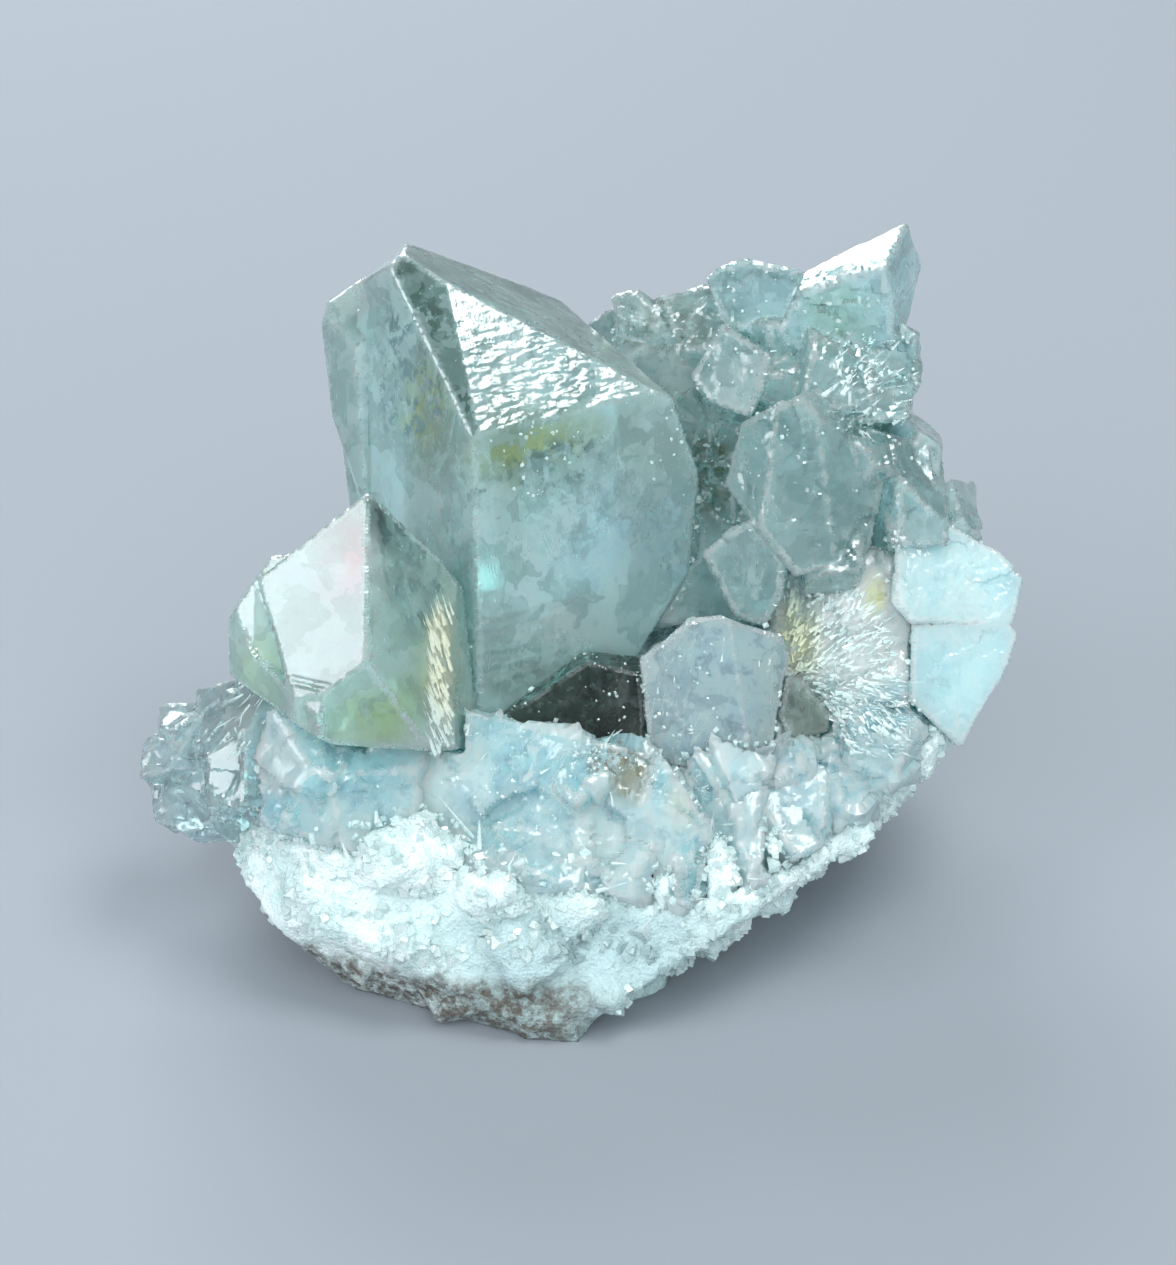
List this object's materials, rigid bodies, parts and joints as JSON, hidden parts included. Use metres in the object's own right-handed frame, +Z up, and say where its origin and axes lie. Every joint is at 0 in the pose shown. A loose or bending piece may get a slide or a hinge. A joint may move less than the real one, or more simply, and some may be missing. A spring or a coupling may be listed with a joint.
{
  "type": "celestine crystal specimen",
  "caption": "Cluster of pale blue-green celestine crystals on a broken crystal bed and white granular matrix; rests on its flat underside.",
  "frame": {"origin": "middle of the specimen's footprint box, on the surface that it rests on", "axes": "+X to the specimen's right, +Y from its crystal front to its back, +Z up"},
  "size_m": [0.0564, 0.0388, 0.0425],
  "materials": {
    "clear_celestine": "clear to milky pale blue-green crystal with glossy faces, veils and sparkles",
    "smoky_celestine": "clear grey-green crystal, dark in its depth",
    "massive_celestine": "milky translucent pale blue, cleaved and broken, satin",
    "granular_matrix": "white to mint sugary grains, dark grey along the lower left edge, matt"
  },
  "bodies": {
    "root": {"large_crystal": "clear_celestine", "left_crystal": "clear_celestine", "striated_crystal": "clear_celestine", "right_crystal_cluster": "clear_celestine", "left_edge_crystals": "clear_celestine", "small_dark_crystal": "smoky_celestine", "clear_dark_crystal": "smoky_celestine", "right_edge_plates": "massive_celestine", "crystal_bed": "massive_celestine", "matrix": "granular_matrix"}
  },
  "joints": []
}
